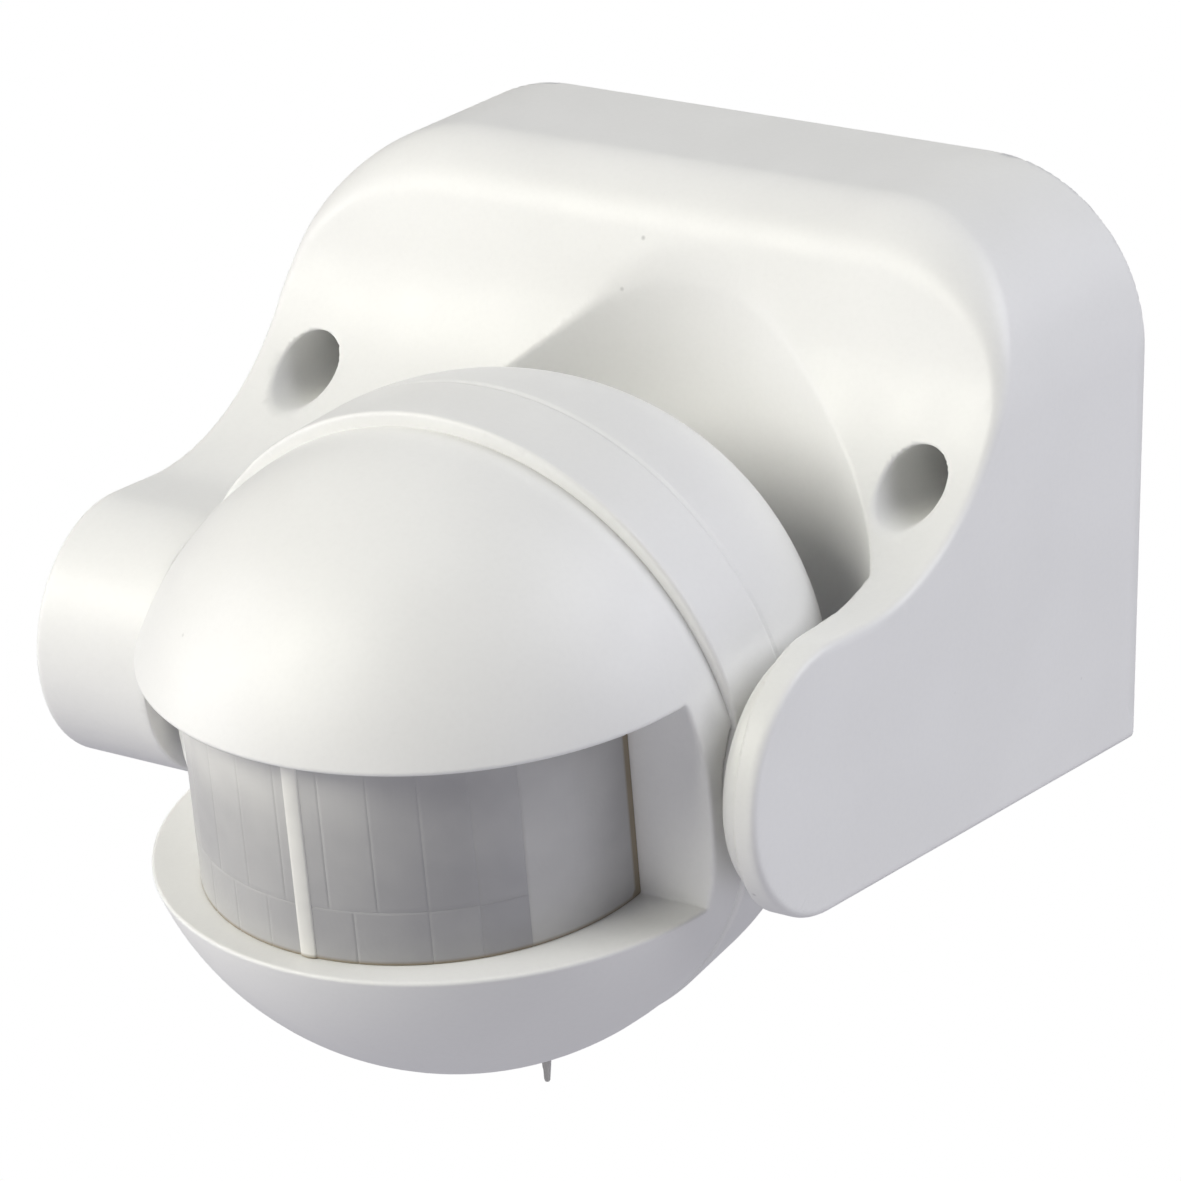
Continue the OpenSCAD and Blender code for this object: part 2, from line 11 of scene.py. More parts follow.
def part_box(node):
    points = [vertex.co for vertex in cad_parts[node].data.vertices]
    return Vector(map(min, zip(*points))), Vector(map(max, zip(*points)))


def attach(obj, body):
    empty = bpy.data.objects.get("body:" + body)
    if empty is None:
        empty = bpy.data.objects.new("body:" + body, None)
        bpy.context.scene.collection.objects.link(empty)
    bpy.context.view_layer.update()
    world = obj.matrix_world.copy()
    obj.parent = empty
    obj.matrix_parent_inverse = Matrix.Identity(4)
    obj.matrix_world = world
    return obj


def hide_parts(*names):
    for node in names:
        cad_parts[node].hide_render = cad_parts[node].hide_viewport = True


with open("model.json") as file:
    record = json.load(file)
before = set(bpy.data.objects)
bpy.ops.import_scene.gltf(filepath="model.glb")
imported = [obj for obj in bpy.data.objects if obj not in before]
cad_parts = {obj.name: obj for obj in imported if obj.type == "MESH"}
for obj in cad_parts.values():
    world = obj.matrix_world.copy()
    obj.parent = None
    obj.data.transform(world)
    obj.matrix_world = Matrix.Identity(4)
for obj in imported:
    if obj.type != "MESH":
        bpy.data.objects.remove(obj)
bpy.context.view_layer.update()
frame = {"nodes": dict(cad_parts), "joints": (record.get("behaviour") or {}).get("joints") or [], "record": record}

MM = 0.001

# ---------- places and sizes, in millimetres ----------
# The hood's own coordinates have z = 0 at its bottom and y = 0 at the wall, with -y to the front.
# Names that end in _R are radii, in _T thicknesses, in _H heights and in _K distances along the
# head from the pivot axis.

HOOD_LOW, HOOD_HIGH = (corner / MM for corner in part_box("hood"))
HOOD_W = HOOD_HIGH.x - HOOD_LOW.x
HOOD_H = HOOD_HIGH.z - HOOD_LOW.z
BOTTOM = HOOD_LOW.z
WALL = 2.2
CORNER_R = 16.6
BROW_BLEND = 5.2
# The rounding of the hood's side edges at these heights
EDGE_HEIGHTS, EDGE_BLENDS = (24, 37, 50), (0.7, 0.95, 2.9)
# The rounding of the pocket's edge, how much it grows near the brow, and between which heights
POCKET_EDGE, POCKET_BROW_EDGE, POCKET_BROW_FROM, POCKET_BROW_TO = 0.25, 0.6, 41, 46
FACE_ANGLE = math.radians(74)
TOP_SLOPE = math.tan(math.radians(2.1))
SIDE_LEAN = math.tan(math.radians(1.03))
SWEEP_R, SWEEP_Y = 24.3, -47.7
POCKET_X, POCKET_R = 5.8, 32.0
POCKET_LEAN = math.tan(math.radians(3.6))
RIGHT_ARM_X, ARM_LEAN = 35.5, math.tan(math.radians(5.1))
FIXING_X, FIXING_Z = 33.2, 31.7
COUNTERBORE_R, COUNTERBORE_FLOOR = 3.15, 11.0
POST_R, POST_END, FIXING_HOLE_R = 5.05, 8.6, 1.9

JOINTS = {joint["name"]: joint for joint in frame["joints"]}
PIVOT = Vector(JOINTS["head_tilt"]["pos_m"]) / MM
PIVOT_Y = PIVOT.y
PIVOT_Z = PIVOT.z - BOTTOM
ARM_R = PIVOT_Z
KNOB_AXIS = Vector(JOINTS["time_turn"]["axis"])
REST_TILT = math.atan2(-KNOB_AXIS.y, KNOB_AXIS.z)
BOSS_R, BOSS_FACE, BOSS_END = 11.3, 34.5, 37.9
TUBE_R, PIN_R, RUN_GAP = 4.2, 4.0, 0.05
WASHER_SEAT_R, WASHER_SEAT_HALF = 8.4, 1.5
FLANGE_SEAT_R, FLANGE_SEAT_HALF = 6.8, 4.5
PIN_BORE_START = 20

# The head's own coordinates have their origin on the pivot axis, -y ahead along the head and z up.
DOME_R, DOME_K, DOME_DROP = 29.5, 6.6, 0.65
INNER_R = 26.9
LIP_R, LIP_K = 30.2, 5.3
BALL_R, WAIST_K, FLAT_BACK_K = 30.0, 2.8, 25.0
SIDE_FLAT = 29.2
WAIST_GROOVE_OUT, WAIST_GROOVE_R = 0.22, 0.36
SPIGOT_R, SPIGOT_INNER_R, SPIGOT_K = 27.4, 26.0, 1.4
DOME_OVERLAP = 0.2
BRIM_H, SILL_H, JAMB_K = 9.9, 9.5, 10.0
LENS_R, LENS_T, LENS_K = 21.0, 0.8, 11.0
SLAB = 1.6
SHELL_SCREWS = [(0, 20), (-16.4, -16.4), (16.4, -16.4)]
SCREW_COLUMN_R, SCREW_POST_R = 3.3, 2.8
SCREW_HEAD_R, SCREW_HOLE_R, SCREW_CORE_R = 2.4, 1.3, 1.05
SCREW_SEAT_K, SCREW_CORE_END_K = -3.6, 12
EAR_R, EAR_T = 8, 2.2
DECK_WALL, DECK_RISE, STEM_R = 1.3, 1.2, 1.5
KNOB_GAP, KNOB_K, KNOB_R = 8.5, 9.0, 3.4
KNOB_FACE, KNOB_BACK = -1.5, -0.2
FIN_H, FIN_HALF_L, FIN_HALF_T, FIN_TAPER, FIN_ROOT = 3.1, 2.6, 0.4, 0.12, 0.4
STEM_MIDDLE, STEM_HALF_H = 4.5, 6
# Each knob's place in the row, the floor of its recess and the turn of its grip fin in degrees
KNOBS = {"range_knob": (-1, -26.2, 20), "time_knob": (0, -27.3, -35), "light_knob": (1, -26.2, -58)}

IN_HOOD = Matrix.Translation((0, 0, BOTTOM * MM)) @ Matrix.Scale(MM, 4)
IN_HEAD = Matrix.Translation(PIVOT * MM) @ Matrix.Rotation(REST_TILT, 4, "X") @ Matrix.Scale(MM, 4)


# ---------- solids as distance fields ----------

def both(a, b, blend=0.0):
    """What lies in both solids, with a rounded edge."""
    if np.isscalar(blend) and blend == 0:
        return np.maximum(a, b)
    corner = np.hypot(np.maximum(a + blend, 0), np.maximum(b + blend, 0))
    return np.minimum(-blend, np.maximum(a, b)) + corner


def either(a, b, blend=0.0):
    """What lies in either solid, with a filleted corner."""
    return -both(-a, -b, blend)


def without(a, b, blend=0.0):
    return both(a, -b, blend)


def between(value, low, high):
    """A slab: negative from low to high."""
    return np.maximum(low - value, value - high)


def smooth_step(low, high, value):
    t = np.clip((value - low) / (high - low), 0, 1)
    return t * t * (3 - 2 * t)


def arc(centre, radius, start, end, count):
    """Points of an arc, between two angles in degrees."""
    angles = np.radians(np.linspace(start, end, count))
    return [(centre[0] + radius * math.cos(a), centre[1] + radius * math.sin(a)) for a in angles]


def outline(points, u, v):
    """Signed distance to a closed outline, negative inside."""
    u, v = np.broadcast_arrays(u, v)
    nearest = np.full(u.shape, 1e9)
    inside = np.zeros(u.shape, bool)
    for (u0, v0), (u1, v1) in zip(points, points[1:] + points[:1]):
        eu, ev = u1 - u0, v1 - v0
        length = eu * eu + ev * ev
        if length < 1e-12:
            continue
        t = np.clip(((u - u0) * eu + (v - v0) * ev) / length, 0, 1)
        nearest = np.minimum(nearest, (u - u0 - t * eu) ** 2 + (v - v0 - t * ev) ** 2)
        if v0 != v1:
            inside ^= ((v0 > v) != (v1 > v)) & (u < u0 + (v - v0) * eu / ev)
    return np.where(inside, -1, 1) * np.sqrt(nearest)


def rounded_box(offsets, halves, radius):
    """A box about the origin of offsets, with round edges."""
    q = [np.abs(o) - h + radius for o, h in zip(offsets, halves)]
    outside = np.sqrt(sum(np.maximum(c, 0) ** 2 for c in q))
    inside = np.minimum(np.maximum(np.maximum(q[0], q[1]), q[2]), 0)
    return outside + inside - radius


def mesh_object(name, points, faces, normals=None):
    """A smooth object from points in metres and one array of faces for each number of corners."""
    mesh = bpy.data.meshes.new(name)
    faces = [f for f in faces if len(f)]
    corners = np.concatenate([f.ravel() for f in faces])
    sizes = np.concatenate([np.full(len(f), f.shape[1]) for f in faces])
    mesh.vertices.add(len(points))
    mesh.vertices.foreach_set("co", np.asarray(points, np.float32).ravel())
    mesh.loops.add(len(corners))
    mesh.loops.foreach_set("vertex_index", corners.astype(np.int32))
    mesh.polygons.add(len(sizes))
    starts = np.concatenate([[0], np.cumsum(sizes)[:-1]])
    mesh.polygons.foreach_set("loop_start", starts.astype(np.int32))
    mesh.update(calc_edges=True)
    mesh.validate()
    mesh.polygons.foreach_set("use_smooth", np.ones(len(mesh.polygons), bool))
    if normals is not None:
        mesh.normals_split_custom_set_from_vertices(normals)
    obj = bpy.data.objects.new(name, mesh)
    bpy.context.scene.collection.objects.link(obj)
    return obj


def gradient(field, points, reach=0.02):
    parts = []
    for axis in range(3):
        shift = np.zeros(3)
        shift[axis] = reach
        ahead, behind = points + shift, points - shift
        parts.append((field(*ahead.T) - field(*behind.T)) / (2 * reach))
    return np.stack(parts, 1)


def solid(name, field, low, high, cell, place, adaptivity):
    """Meshes the surface of a distance field, then moves every point onto the true surface."""
    low, high = np.array(low, float), np.array(high, float)
    counts = np.ceil((high - low) / cell).astype(int) + 1
    x, y, z = (low[i] + cell * np.arange(counts[i]) for i in range(3))
    values = field(x[:, None, None], y[None, :, None], z[None, None, :])
    values = np.broadcast_to(values, counts).astype(np.float32)
    grid = openvdb.FloatGrid(3 * cell)
    grid.copyFromArray(np.clip(values, -3 * cell, 3 * cell))
    points, triangles, quads = grid.convertToPolygons(0.0, adaptivity)
    points = low + cell * points.astype(float)
    for _ in range(9):
        slope = gradient(field, points)
        steep = np.maximum((slope ** 2).sum(1), 0.25)
        step = slope * (field(*points.T) / steep)[:, None]
        length = np.linalg.norm(step, axis=1)
        points -= step * np.minimum(1, 0.5 * cell / np.maximum(length, 1e-9))[:, None]
    normals = gradient(field, points)
    normals /= np.maximum(np.linalg.norm(normals, axis=1), 1e-9)[:, None]
    turn = np.array(place.to_3x3().normalized())
    matrix = np.array(place)
    points = points @ matrix[:3, :3].T + matrix[:3, 3]
    return mesh_object(name, points, [triangles, quads], normals @ turn.T)


# ---------- the hood ----------

SWEEP_CENTRE = (SWEEP_Y, 2 * ARM_R + SWEEP_R)
FAR = 90.0


def hood_side_points():
    """The hood from the side, as (y, z): round arm end, hollow sweep and sloping face above it."""
    sweep = arc(SWEEP_CENTRE, SWEEP_R, 270, 270 + math.degrees(FACE_ANGLE), 60)
    last = sweep[-1]
    top = (last[0] + FAR * math.cos(FACE_ANGLE), last[1] + FAR * math.sin(FACE_ANGLE))
    return [(FAR, 0)] + arc((PIVOT_Y, PIVOT_Z), ARM_R, -90, -270, 90) + sweep + [top, (FAR, top[1])]


HOOD_SIDE = hood_side_points()


def hood_front(x, y, z):
    """The hood from the front, as a distance and how much of it faces up, from 0 to 1."""
    across = np.abs(x) + SIDE_LEAN * np.abs(y) - (HOOD_W / 2 - CORNER_R)
    up = z + TOP_SLOPE * np.abs(y) - (HOOD_H - CORNER_R)
    over, above = np.maximum(across, 0), np.maximum(up, 0)
    distance = np.hypot(over, above) + np.minimum(np.maximum(across, up), 0) - CORNER_R
    return distance, np.arctan2(above, over) / (math.pi / 2)


def hood_block(x, y, z):
    side = outline(HOOD_SIDE, y, z)
    front, faces_up = hood_front(x, y, z)
    side_blend = np.interp(z, EDGE_HEIGHTS, EDGE_BLENDS)
    blend = side_blend + (BROW_BLEND - side_blend) * smooth_step(0.2, 0.93, faces_up)
    return both(side, front, blend)


def pocket(x, y, z):
    behind = np.maximum(y - PIVOT_Y + POCKET_LEAN * (z - PIVOT_Z), 0)
    right_arm = x - RIGHT_ARM_X + ARM_LEAN * (y - PIVOT_Y)
    return np.maximum(np.hypot(x - POCKET_X, behind) - POCKET_R, right_arm)


def round_fixing(x, z, radius):
    return np.hypot(np.abs(x) - FIXING_X, z - FIXING_Z) - radius


def hood_field(x, y, z):
    block = hood_block(x, y, z)
    hollow = pocket(x, y, z)
    cavity = both(block + WALL, WALL - hollow, 1.0)
    cavity = without(cavity, both(round_fixing(x, z, POST_R), y + POST_END), 0.8)
    edge = POCKET_EDGE + POCKET_BROW_EDGE * smooth_step(POCKET_BROW_FROM, POCKET_BROW_TO, z)
    body = without(both(block, y, 0.3), hollow, edge)
    axle = np.hypot(y - PIVOT_Y, z - PIVOT_Z)
    boss = both(both(axle - BOSS_R, BOSS_FACE - x, 1.1), x - BOSS_END)
    body = either(body, boss, 0.3)
    body = without(body, cavity)
    body = without(body, both(round_fixing(x, z, COUNTERBORE_R), y + COUNTERBORE_FLOOR), 0.4)
    body = without(body, round_fixing(x, z, FIXING_HOLE_R))
    left_face = POCKET_X - POCKET_R
    seat_depth = np.abs(x - left_face - WASHER_SEAT_HALF) - WASHER_SEAT_HALF
    body = without(body, both(axle - WASHER_SEAT_R, seat_depth), 0.2)
    body = without(body, both(axle - TUBE_R - RUN_GAP, np.abs(x - left_face) - 4), 0.2)
    return without(body, both(both(axle - PIN_R - RUN_GAP, PIN_BORE_START - x), x - BOSS_END), 0.2)


# ---------- the head ----------

WAIST_R = math.sqrt(BALL_R ** 2 - WAIST_K ** 2)


def rear_surface(round_r, ahead):
    """The rear shell's outside: a slight cone from the lip to the waist, then the round back."""
    ball = np.hypot(round_r, ahead) - BALL_R
    band = round_r - WAIST_R - (LIP_R - WAIST_R) * (ahead + WAIST_K) / (LIP_K + WAIST_K)
    return np.where(ahead < -WAIST_K, ball, band)


def shell_screw(x, z, radius):
    distances = [np.hypot(x - sx, z - sz) for sx, sz in SHELL_SCREWS]
    return np.minimum(np.minimum(distances[0], distances[1]), distances[2]) - radius


def rear_shell_field(x, y, z):
    round_r = np.hypot(x, z)
    ahead = -y
    outer = rear_surface(round_r, ahead)
    inner = both(outer + WALL, -FLAT_BACK_K + WALL - ahead, 0.5)
    groove = np.hypot(round_r - WAIST_R - WAIST_GROOVE_OUT, ahead + WAIST_K) - WAIST_GROOVE_R
    outer = without(outer, groove, 0.1)
    outer = both(outer, np.abs(x) - SIDE_FLAT, 0.8)
    outer = both(both(outer, ahead - LIP_K, 0.4), -FLAT_BACK_K - ahead, 0.5)
    inner = without(inner, both(shell_screw(x, z, SCREW_COLUMN_R), ahead - 1))
    body = without(outer, inner)
    body = without(body, both(round_r - SPIGOT_R - 0.2, 0.8 - ahead))
    axle = np.hypot(ahead, z)
    ear = both(both(axle - EAR_R, np.abs(x) - SIDE_FLAT, 0.4), SIDE_FLAT - EAR_T - np.abs(x))
    body = either(body, ear)
    seat_depth = np.abs(np.abs(x) - SIDE_FLAT + WALL + FLANGE_SEAT_HALF) - FLANGE_SEAT_HALF
    body = without(body, both(axle - FLANGE_SEAT_R, seat_depth))
    body = without(body, both(shell_screw(x, z, SCREW_HEAD_R), ahead - SCREW_SEAT_K), 0.3)
    body = without(body, shell_screw(x, z, SCREW_HOLE_R))
    return without(body, axle - TUBE_R - RUN_GAP)


def knob_wells(x, ahead, z, radius, top_shift, bottom):
    """Upright round wells at the knobs, from a low plane to above each knob's recess."""
    wells = [both(np.hypot(x - i * KNOB_GAP, ahead - KNOB_K) - radius, z - top - top_shift)
             for i, top, _ in KNOBS.values()]
    return both(np.minimum(np.minimum(wells[0], wells[1]), wells[2]), bottom - z)


def front_shell_field(x, y, z):
    ahead = -y
    sphere = np.sqrt(x * x + (ahead - DOME_K) ** 2 + (z + DOME_DROP) ** 2) - DOME_R
    outer = both(both(sphere, np.abs(x) - SIDE_FLAT, 0.8), LIP_K - DOME_OVERLAP - ahead)
    spigot = both(np.hypot(x, z) - SPIGOT_R, between(ahead, SPIGOT_K, LIP_K + 1), 0.2)
    hollow = np.sqrt(x * x + (ahead - DOME_K) ** 2 + z * z) - INNER_R
    window = np.maximum(JAMB_K - ahead, between(z, -SILL_H, BRIM_H))
    slabs = without(window - SLAB, np.hypot(x, ahead - LENS_K) - (LENS_R - LENS_T - 1))
    post = shell_screw(x, z, SCREW_POST_R)
    decks = knob_wells(x, ahead, z, KNOB_R + DECK_WALL, DECK_RISE, -DOME_R - 1.5)
    hollow = without(without(without(hollow, slabs, 0.4), post, 0.4), decks)
    throat = without(both(np.hypot(x, z) - SPIGOT_INNER_R, ahead - LIP_K - 0.5), post)
    body = without(without(np.minimum(outer, spigot), hollow), throat)
    opening = both(JAMB_K - ahead, between(z, -SILL_H, BRIM_H), 0.25)
    body = without(body, opening, 0.4)
    body = without(body, both(shell_screw(x, z, SCREW_CORE_R), ahead - SCREW_CORE_END_K))
    body = without(body, both(np.hypot(ahead, z) - 8.2, 24 - np.abs(x)), 0.2)
    body = without(body, knob_wells(x, ahead, z, KNOB_R + 0.35, 0, -60), 0.35)
    return without(body, knob_wells(x, ahead, z, STEM_R + 0.1, 6, -60))


def knob_field(x, y, z):
    """One knob about its axis, from its recess's floor: disc, grip fin, pointer notch and stem."""
    radius = np.hypot(x, y)
    disc = both(radius - KNOB_R, between(z, KNOB_FACE, KNOB_BACK), 0.3)
    half_t = FIN_HALF_T - FIN_TAPER * smooth_step(0, 1, (KNOB_FACE - z) / FIN_H)
    fin = rounded_box((x, y * FIN_HALF_T / half_t, z - KNOB_FACE + FIN_H / 2 - FIN_ROOT),
                      (FIN_HALF_L, FIN_HALF_T, FIN_H / 2 + FIN_ROOT), 0.3)
    notch = rounded_box((x - KNOB_R, y, z - KNOB_FACE), (1.1, 0.3, 0.35), 0.1)
    stem = both(radius - STEM_R, np.abs(z - STEM_MIDDLE) - STEM_HALF_H, 0.2)
    return either(either(without(disc, notch, 0.1), fin, 0.35), stem, 0.1)


def make_hood():
    low = (HOOD_LOW.x - 1, HOOD_LOW.y - 1, -1)
    high = (HOOD_HIGH.x + 1, 1, HOOD_H + 1)
    hood = solid("hood_moulding", hood_field, low, high, 0.36, IN_HOOD, 0.003)
    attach(hood, "hood_body")
    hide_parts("hood")
    return hood


def make_shells():
    reach = DOME_R + 1
    low, high = (-reach, -9, -reach), (reach, FLAT_BACK_K + 1, reach)
    rear = solid("rear_shell", rear_shell_field, low, high, 0.25, IN_HEAD, 0.003)
    low, high = (-reach, -DOME_K - reach, -reach - 1), (reach, -SPIGOT_K + 1, reach)
    front = solid("front_shell", front_shell_field, low, high, 0.25, IN_HEAD, 0.003)
    for piece, node in ((rear, "head_rear_shell"), (front, "head_front_shell")):
        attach(piece, "head_body")
        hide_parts(node)
    return rear, front


def make_knobs():
    made = []
    for node, (row, top, turn) in KNOBS.items():
        spin = Matrix.Rotation(math.radians(turn), 4, "Z")
        place = IN_HEAD @ Matrix.Translation((row * KNOB_GAP, -KNOB_K, top)) @ spin
        reach = KNOB_R + 0.6
        low, high = (-reach, -reach, -FIN_H - 2.2), (reach, reach, 11)
        knob = solid(node + "_piece", knob_field, low, high, 0.16, place, 0.002)
        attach(knob, node + "_body")
        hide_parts(node)
        made.append(knob)
    return made


# ---------- the Fresnel lens ----------

PATTERN_CENTRE = 4
FACET_ROW_Z = -4.4
LOWER_FACET, END_FACET = 20, 40
# In degrees from straight ahead: where the plain end parts stop, and where the painted shade line at the rim's
# ends lies, for the gap beside the jamb
PLAIN_END, RIM_END = 93, 91
UPPER_SEAMS = [PATTERN_CENTRE + turn for turn in (-54, -42, -30, -18, -6, 6, 18, 30, 42, 54)]
LOWER_SEAMS = [PATTERN_CENTRE + turn for turn in (-54, -36, -24, -12, 12, 30, 42, 54)]
RIB = (0.8, 5.2)
RIB_RISE, RIB_SHADE = 0.22, 1.6
SEAM_DEPTH, SEAM_HALF = 0.05, 0.14
RING_PITCH = 0.55


def stops(low, high, step, marks):
    """Grid stops from low to high, close together at each marked seam."""
    values = set(np.round(np.arange(low, high, step), 4)) | {low, high}
    for mark, half in marks:
        values = {v for v in values if abs(v - mark) > 1.5 * half or v in (low, high)}
        values |= {mark - half, mark, mark + half}
    return np.array(sorted(v for v in values if low <= v <= high))


def lens_relief(turn, height):
    """How far the lens's outside stands out, in mm, at an angle in degrees and a height in mm."""
    seams = UPPER_SEAMS if height > FACET_ROW_Z else LOWER_SEAMS
    relief = 0.0
    faceted = UPPER_SEAMS[0] <= turn <= UPPER_SEAMS[-1]
    nearest = min(abs(turn - seam) for seam in seams) * math.radians(LENS_R)
    if nearest < SEAM_HALF / 2 or (faceted and abs(height - FACET_ROW_Z) < SEAM_HALF / 2):
        relief = -SEAM_DEPTH
    if RIB[0] <= turn <= RIB[1]:
        middle, half = sum(RIB) / 2, (RIB[1] - RIB[0]) / 2
        relief = RIB_RISE * math.sqrt(max(0, 1 - ((turn - middle) / half) ** 2))
    return relief


def lens_facet(turn, height):
    """The middle of the facet that holds this place, as (degrees, mm), and its number."""
    upper = height > FACET_ROW_Z
    seams = UPPER_SEAMS if upper else LOWER_SEAMS
    index = sum(turn > seam for seam in seams)
    ends = [-PLAIN_END] + seams + [PLAIN_END]
    middle = (ends[index] + ends[index + 1]) / 2
    if index in (0, len(seams)):
        return middle, (BRIM_H - SILL_H) / 2, END_FACET + min(index, 1)
    low, high = (FACET_ROW_Z, BRIM_H) if upper else (-SILL_H, FACET_ROW_Z)
    return middle, (low + high) / 2, index + (0 if upper else LOWER_FACET)


def make_lens():
    """A half cylinder about an upright axis: seams and a rib outside, smooth inside."""
    seam_turn = math.degrees(SEAM_HALF / LENS_R)
    end_turn = 90 + math.degrees(math.asin((LENS_K - JAMB_K - 0.05) / LENS_R))
    marks = [(seam, seam_turn) for seam in set(UPPER_SEAMS + LOWER_SEAMS)]
    marks += [(RIB[0] + (RIB[1] - RIB[0]) * i / 8, 0.1) for i in range(9)]
    turns = stops(-end_turn, end_turn, 1.5, marks)
    heights = stops(-SILL_H + 0.05, BRIM_H - 0.05, 0.8, [(FACET_ROW_Z, SEAM_HALF)])
    across, up = len(turns), len(heights)
    points = []
    for radius, outside in ((LENS_R, True), (LENS_R - LENS_T, False)):
        for turn in turns:
            for height in heights:
                r = radius + (lens_relief(turn, height) if outside else 0)
                angle = math.radians(turn)
                points.append((r * math.sin(angle), -LENS_K - r * math.cos(angle), height))
    faces = []
    inner = across * up
    for i in range(across - 1):
        for j in range(up - 1):
            a, b = i * up + j, (i + 1) * up + j
            faces.append((a, b, b + 1, a + 1))
            faces.append((inner + a, inner + a + 1, inner + b + 1, inner + b))
    for i in range(across - 1):
        a, b = i * up, (i + 1) * up
        faces.append((a, inner + a, inner + b, b))
        faces.append((a + up - 1, b + up - 1, inner + b + up - 1, inner + a + up - 1))
    for j in range(up - 1):
        a, b = j, (across - 1) * up + j
        faces.append((a, a + 1, inner + a + 1, inner + a))
        faces.append((b, inner + b, inner + b + 1, b + 1))
    place = np.array(IN_HEAD)
    world = np.array(points) @ place[:3, :3].T + place[:3, 3]
    lens = mesh_object("lens_film_piece", world, [np.array(faces)])
    lens.data.set_sharp_from_angle(angle=math.radians(30))
    store_facets(lens.data, np.array(points))
    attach(lens, "head_body")
    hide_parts("fresnel_lens")
    return lens


def facet_shade(turn, height, number):
    """How light the milky film is painted: a random tone for each facet, with painted light and shade over it,
    lighter at the top against the brim's shadow and to the left, darker to the right and at the right end; also
    darker low down, and lighter on the rib.
    """
    if RIB[0] < turn < RIB[1]:
        return RIB_SHADE
    # The plain ends are painted darker towards the right end: painted shade beside the jamb.
    if number >= END_FACET:
        return 1 - 0.12 * smooth_step(60, 88, turn)
    chance = math.sin(number * 12.9898) * 43758.5453 % 1
    # Painted light and shade: the top is painted lighter against the brim's shadow, the left lighter and the right
    # darker; the lower part is also darker.
    low, high = smooth_step(-6, 4, -height), smooth_step(2, 6.5, height)
    right = smooth_step(-54, 54, turn)
    return 1.18 - 0.3 * right - 0.14 * low + 0.3 * high * (1 - right) + 0.1 * (chance - 0.5)


def store_facets(mesh, points):
    """Stores each corner's place in its facet and its painted lightness, and each point's gap to the rim, where
    the painted shade line goes.
    """
    place = mesh.attributes.new("facet", "FLOAT_VECTOR", "CORNER")
    rim = mesh.attributes.new("rim", "FLOAT", "POINT")
    turns = np.degrees(np.arctan2(points[:, 0], -points[:, 1] - LENS_K))
    for polygon in mesh.polygons:
        ids = list(polygon.vertices)
        turn = turns[ids].mean()
        middle_turn, middle_height, number = lens_facet(turn, points[ids, 2].mean())
        for loop, vertex in zip(polygon.loop_indices, ids):
            along = math.radians(turns[vertex] - middle_turn) * LENS_R
            height = points[vertex, 2]
            shade = facet_shade(turn, height, number)
            place.data[loop].vector = (along, height - middle_height, shade)
    # The gap to the rim sets where the lens film paints its shade line along the edges.
    for vertex, (turn, point) in enumerate(zip(turns, points)):
        side = math.radians(RIM_END - abs(turn)) * LENS_R
        rim.data[vertex].value = min(side, point[2] + SILL_H, BRIM_H - point[2])


# ---------- materials ----------

class Surface:
    """A procedural material, built around one Principled shader."""

    def __init__(self, name, roughness, **sockets):
        self.material = bpy.data.materials.new(name)
        self.material.use_nodes = True
        self.tree = self.material.node_tree
        self.shader = self.tree.nodes["Principled BSDF"]
        self.shader.inputs["Roughness"].default_value = roughness
        for socket, value in sockets.items():
            self.shader.inputs[socket.replace("_", " ")].default_value = value
        self.place = self.node("ShaderNodeTexCoord").outputs["Object"]
        self.height = None

    def node(self, kind, inputs=None, **settings):
        made = self.tree.nodes.new(kind)
        for key, value in settings.items():
            setattr(made, key, value)
        for key, value in (inputs or {}).items():
            if isinstance(value, bpy.types.NodeSocket):
                self.tree.links.new(value, made.inputs[key])
            else:
                made.inputs[key].default_value = value
        return made

    def noise(self, size_mm, detail=2.0, stretch=None):
        """Soft noise with features of about this size, from 0 to 1."""
        place = self.place
        if stretch:
            inputs = {0: place, 1: stretch}
            place = self.node("ShaderNodeVectorMath", inputs, operation="MULTIPLY").outputs[0]
        inputs = {"Vector": place, "Scale": 1 / (size_mm * MM), "Detail": detail}
        return self.node("ShaderNodeTexNoise", inputs).outputs["Fac"]

    def specks(self, size_mm, cover):
        """Rare small round specks: 1 in a speck and 0 elsewhere."""
        inputs = {"Vector": self.place, "Scale": 1 / (size_mm * MM)}
        cells = self.node("ShaderNodeTexVoronoi", inputs)
        return self.fit(cells.outputs["Distance"], cover, cover * 0.45, 0, 1)

    def fit(self, value, low, high, to_low, to_high):
        inputs = {"Value": value, "From Min": low, "From Max": high,
                  "To Min": to_low, "To Max": to_high}
        return self.node("ShaderNodeMapRange", inputs).outputs["Result"]

    def maths(self, operation, *values):
        return self.node("ShaderNodeMath", dict(enumerate(values)), operation=operation).outputs[0]

    def blend(self, amount, first, second):
        made = self.node("ShaderNodeMix", data_type="RGBA")
        for number, value in ((0, amount), (6, first), (7, second)):
            socket = made.inputs[number]
            if isinstance(value, bpy.types.NodeSocket):
                self.tree.links.new(value, socket)
            elif socket.type == "RGBA":
                socket.default_value = (*value, 1)
            else:
                socket.default_value = value
        return made.outputs[2]

    def mottle(self, amount, colour, dark, light):
        """The colour, varied between a darker and a lighter tint."""
        return self.blend(amount, tinted(colour, dark), tinted(colour, light))

    def colour(self, value):
        self.tree.links.new(value, self.shader.inputs["Base Color"])

    def roughness(self, value):
        self.tree.links.new(value, self.shader.inputs["Roughness"])

    def bump(self, height, depth_mm, strength=1.0):
        inputs = {"Height": height, "Distance": depth_mm * MM, "Strength": strength}
        if self.height is not None:
            inputs["Normal"] = self.height
        self.height = self.node("ShaderNodeBump", inputs).outputs["Normal"]
        self.tree.links.new(self.height, self.shader.inputs["Normal"])


def tinted(colour, factor):
    return tuple(min(1, c * factor) for c in colour)


